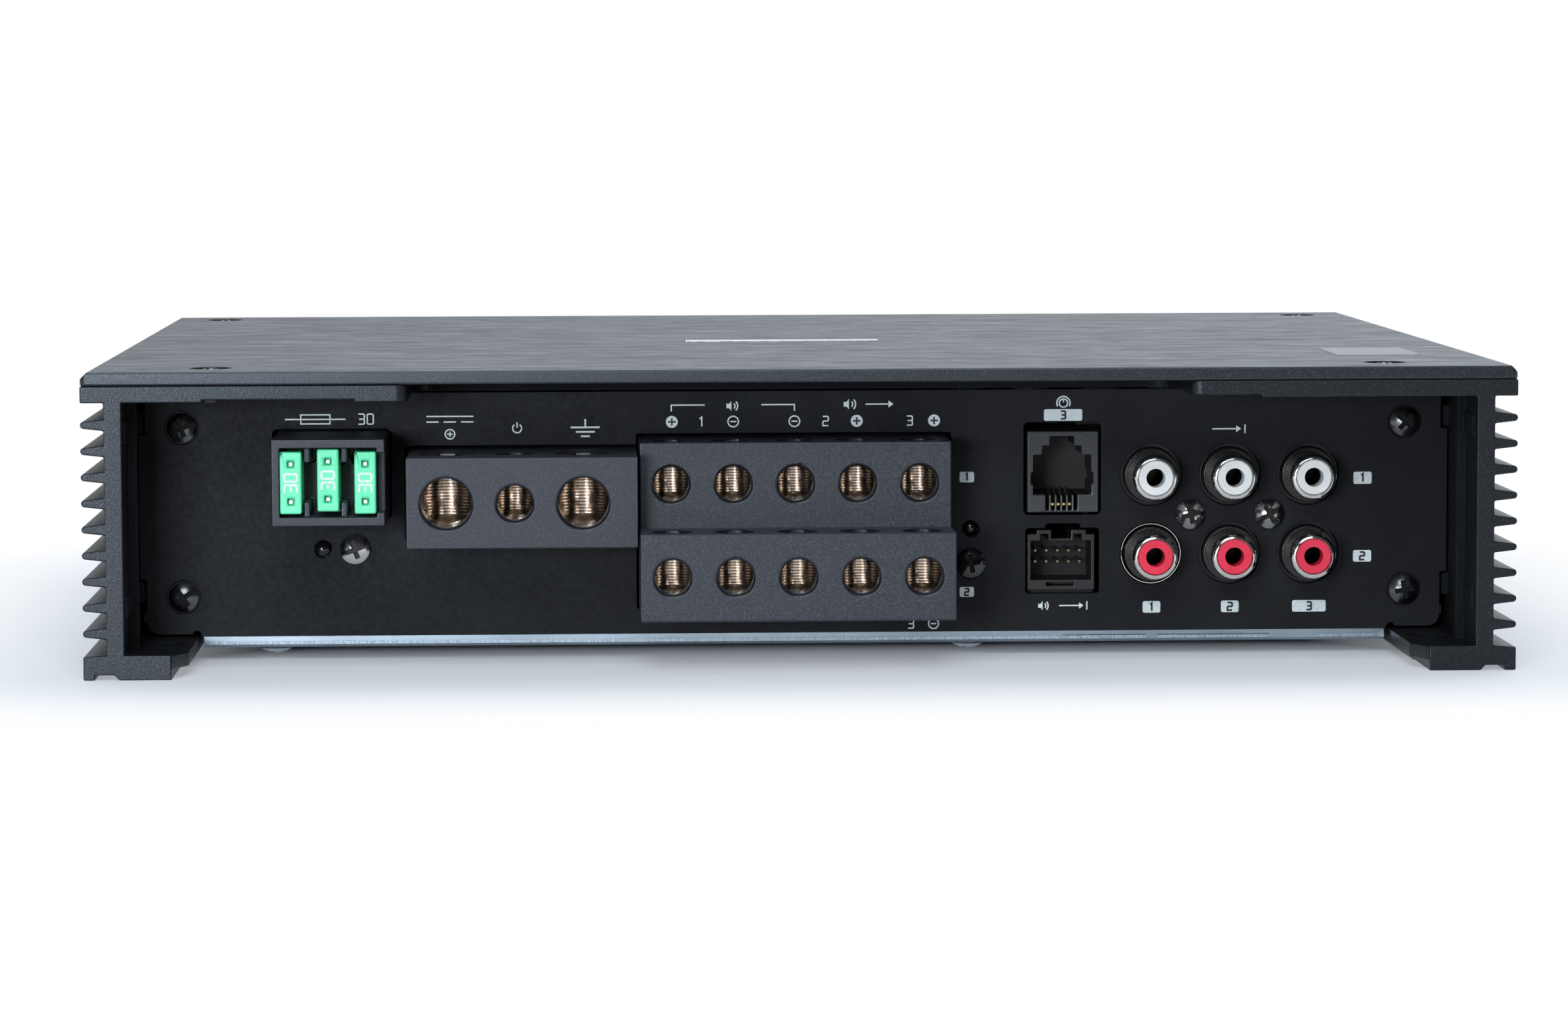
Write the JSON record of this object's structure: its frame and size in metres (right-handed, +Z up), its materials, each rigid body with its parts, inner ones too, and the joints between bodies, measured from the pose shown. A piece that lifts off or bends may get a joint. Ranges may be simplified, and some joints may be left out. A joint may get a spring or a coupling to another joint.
{
  "type": "car amplifier",
  "caption": "Flat finned amplifier body with a lift-off lid over a recessed panel of fuses, screw-clamp wire ports, phono jacks and plug sockets.",
  "frame": {"origin": "under the middle of the body, on the floor the feet stand on", "axes": "+X to the right seen from the terminal end, -Y towards the terminal end, +Z up"},
  "size_m": [0.25, 0.206, 0.0538],
  "materials": {
    "cast_grey": "rough charcoal paint",
    "lid_grey": "brushed dark grey top with rough painted edges",
    "sheet_black": "satin black",
    "zinc": "zinc plated",
    "screw_black": "black oxide",
    "screw_silver": "bright plated",
    "block_grey": "fine matte moulding",
    "black_plastic": "satin moulding",
    "plated_brass": "nickel plated",
    "gold": "gold plated",
    "nickel": "polished nickel",
    "fuse_green": "translucent green",
    "white_plastic": "glossy white",
    "red_plastic": "glossy red",
    "board_green": "solder mask",
    "copper": "enamelled winding",
    "can_sleeve": "dark sleeve"
  },
  "bodies": {
    "amplifier": {"chassis": "cast_grey", "terminal_panel": "sheet_black", "rear_panel": "sheet_black", "panel_screws": "screw_black", "bottom_cover": "zinc", "bottom_screws": "zinc", "board_spacers": "plated_brass", "main_board": "board_green", "fuse_holder": "block_grey", "fuse_clips": "plated_brass", "power_block": "block_grey", "speaker_block": "block_grey", "wire_inserts": "plated_brass", "block_screws": "screw_black", "remote_jack": "black_plastic", "remote_jack_wires": "gold", "level_socket": "black_plastic", "level_pins": "gold", "rca_housing": "black_plastic", "rca_shells": "nickel", "rca_white_inserts": "white_plastic", "rca_red_inserts": "red_plastic", "rca_contacts": "plated_brass", "control_board": "board_green", "trimmer_bodies": "black_plastic", "switch_bodies": "black_plastic", "board_link": "black_plastic", "power_transformer": "copper", "input_choke": "copper", "reservoir_capacitors": "can_sleeve", "output_coils": "black_plastic", "power_transistors": "black_plastic", "transistor_clamps": "zinc"},
    "lid": {"lid": "lid_grey", "lid_screws": "screw_silver", "lid_badge": "nickel"},
    "fuse_1": {"fuse_1": "fuse_green"},
    "fuse_2": {"fuse_2": "fuse_green"},
    "fuse_3": {"fuse_3": "fuse_green"},
    "power_clamp_screw_1": {"power_clamp_screw_1": "screw_silver"},
    "power_clamp_screw_2": {"power_clamp_screw_2": "screw_silver"},
    "power_clamp_screw_3": {"power_clamp_screw_3": "screw_silver"},
    "speaker_clamp_screw_1": {"speaker_clamp_screw_1": "screw_silver"},
    "speaker_clamp_screw_2": {"speaker_clamp_screw_2": "screw_silver"},
    "speaker_clamp_screw_3": {"speaker_clamp_screw_3": "screw_silver"},
    "speaker_clamp_screw_4": {"speaker_clamp_screw_4": "screw_silver"},
    "speaker_clamp_screw_5": {"speaker_clamp_screw_5": "screw_silver"},
    "speaker_clamp_screw_6": {"speaker_clamp_screw_6": "screw_silver"},
    "speaker_clamp_screw_7": {"speaker_clamp_screw_7": "screw_silver"},
    "speaker_clamp_screw_8": {"speaker_clamp_screw_8": "screw_silver"},
    "speaker_clamp_screw_9": {"speaker_clamp_screw_9": "screw_silver"},
    "speaker_clamp_screw_10": {"speaker_clamp_screw_10": "screw_silver"},
    "trimmer_knob_1": {"trimmer_knob_1": "white_plastic"},
    "trimmer_knob_2": {"trimmer_knob_2": "white_plastic"},
    "trimmer_knob_3": {"trimmer_knob_3": "white_plastic"},
    "trimmer_knob_4": {"trimmer_knob_4": "white_plastic"},
    "trimmer_knob_5": {"trimmer_knob_5": "white_plastic"},
    "switch_slider_1": {"switch_slider_1": "white_plastic"},
    "switch_slider_2": {"switch_slider_2": "white_plastic"}
  },
  "joints": [
    {"name": "lid_lift", "type": "slide", "parent": "amplifier", "child": "lid", "axis": [0, 0, 1], "range_m": [0, 0.04]},
    {"name": "fuse_1_pull", "type": "slide", "parent": "amplifier", "child": "fuse_1", "axis": [0, -1, 0], "range_m": [0, 0.02]},
    {"name": "fuse_2_pull", "type": "slide", "parent": "amplifier", "child": "fuse_2", "axis": [0, -1, 0], "range_m": [0, 0.02]},
    {"name": "fuse_3_pull", "type": "slide", "parent": "amplifier", "child": "fuse_3", "axis": [0, -1, 0], "range_m": [0, 0.02]},
    {"name": "power_clamp_screw_1_drive", "type": "slide", "parent": "amplifier", "child": "power_clamp_screw_1", "axis": [0, 0, -1], "range_m": [0, 0.0055]},
    {"name": "power_clamp_screw_2_drive", "type": "slide", "parent": "amplifier", "child": "power_clamp_screw_2", "axis": [0, 0, -1], "range_m": [0, 0.0036]},
    {"name": "power_clamp_screw_3_drive", "type": "slide", "parent": "amplifier", "child": "power_clamp_screw_3", "axis": [0, 0, -1], "range_m": [0, 0.0055]},
    {"name": "speaker_clamp_screw_1_drive", "type": "slide", "parent": "amplifier", "child": "speaker_clamp_screw_1", "axis": [0, 0, -1], "range_m": [0, 0.0036]},
    {"name": "speaker_clamp_screw_2_drive", "type": "slide", "parent": "amplifier", "child": "speaker_clamp_screw_2", "axis": [0, 0, -1], "range_m": [0, 0.0036]},
    {"name": "speaker_clamp_screw_3_drive", "type": "slide", "parent": "amplifier", "child": "speaker_clamp_screw_3", "axis": [0, 0, -1], "range_m": [0, 0.0036]},
    {"name": "speaker_clamp_screw_4_drive", "type": "slide", "parent": "amplifier", "child": "speaker_clamp_screw_4", "axis": [0, 0, -1], "range_m": [0, 0.0036]},
    {"name": "speaker_clamp_screw_5_drive", "type": "slide", "parent": "amplifier", "child": "speaker_clamp_screw_5", "axis": [0, 0, -1], "range_m": [0, 0.0036]},
    {"name": "speaker_clamp_screw_6_drive", "type": "slide", "parent": "amplifier", "child": "speaker_clamp_screw_6", "axis": [0, 0, -1], "range_m": [0, 0.0036]},
    {"name": "speaker_clamp_screw_7_drive", "type": "slide", "parent": "amplifier", "child": "speaker_clamp_screw_7", "axis": [0, 0, -1], "range_m": [0, 0.0036]},
    {"name": "speaker_clamp_screw_8_drive", "type": "slide", "parent": "amplifier", "child": "speaker_clamp_screw_8", "axis": [0, 0, -1], "range_m": [0, 0.0036]},
    {"name": "speaker_clamp_screw_9_drive", "type": "slide", "parent": "amplifier", "child": "speaker_clamp_screw_9", "axis": [0, 0, -1], "range_m": [0, 0.0036]},
    {"name": "speaker_clamp_screw_10_drive", "type": "slide", "parent": "amplifier", "child": "speaker_clamp_screw_10", "axis": [0, 0, -1], "range_m": [0, 0.0036]},
    {"name": "trimmer_knob_1_turn", "type": "hinge", "parent": "amplifier", "child": "trimmer_knob_1", "pos_m": [0.032, -0.048, 0.048], "axis": [0, 0, 1], "range_deg": [-140, 140]},
    {"name": "trimmer_knob_2_turn", "type": "hinge", "parent": "amplifier", "child": "trimmer_knob_2", "pos_m": [0.0445, -0.048, 0.048], "axis": [0, 0, 1], "range_deg": [-140, 140]},
    {"name": "trimmer_knob_3_turn", "type": "hinge", "parent": "amplifier", "child": "trimmer_knob_3", "pos_m": [0.057, -0.048, 0.048], "axis": [0, 0, 1], "range_deg": [-140, 140]},
    {"name": "trimmer_knob_4_turn", "type": "hinge", "parent": "amplifier", "child": "trimmer_knob_4", "pos_m": [0.0695, -0.048, 0.048], "axis": [0, 0, 1], "range_deg": [-140, 140]},
    {"name": "trimmer_knob_5_turn", "type": "hinge", "parent": "amplifier", "child": "trimmer_knob_5", "pos_m": [0.082, -0.048, 0.048], "axis": [0, 0, 1], "range_deg": [-140, 140]},
    {"name": "switch_slider_1_move", "type": "slide", "parent": "amplifier", "child": "switch_slider_1", "axis": [1, 0, 0], "range_m": [-0.002, 0.002]},
    {"name": "switch_slider_2_move", "type": "slide", "parent": "amplifier", "child": "switch_slider_2", "axis": [1, 0, 0], "range_m": [-0.002, 0.002]}
  ]
}
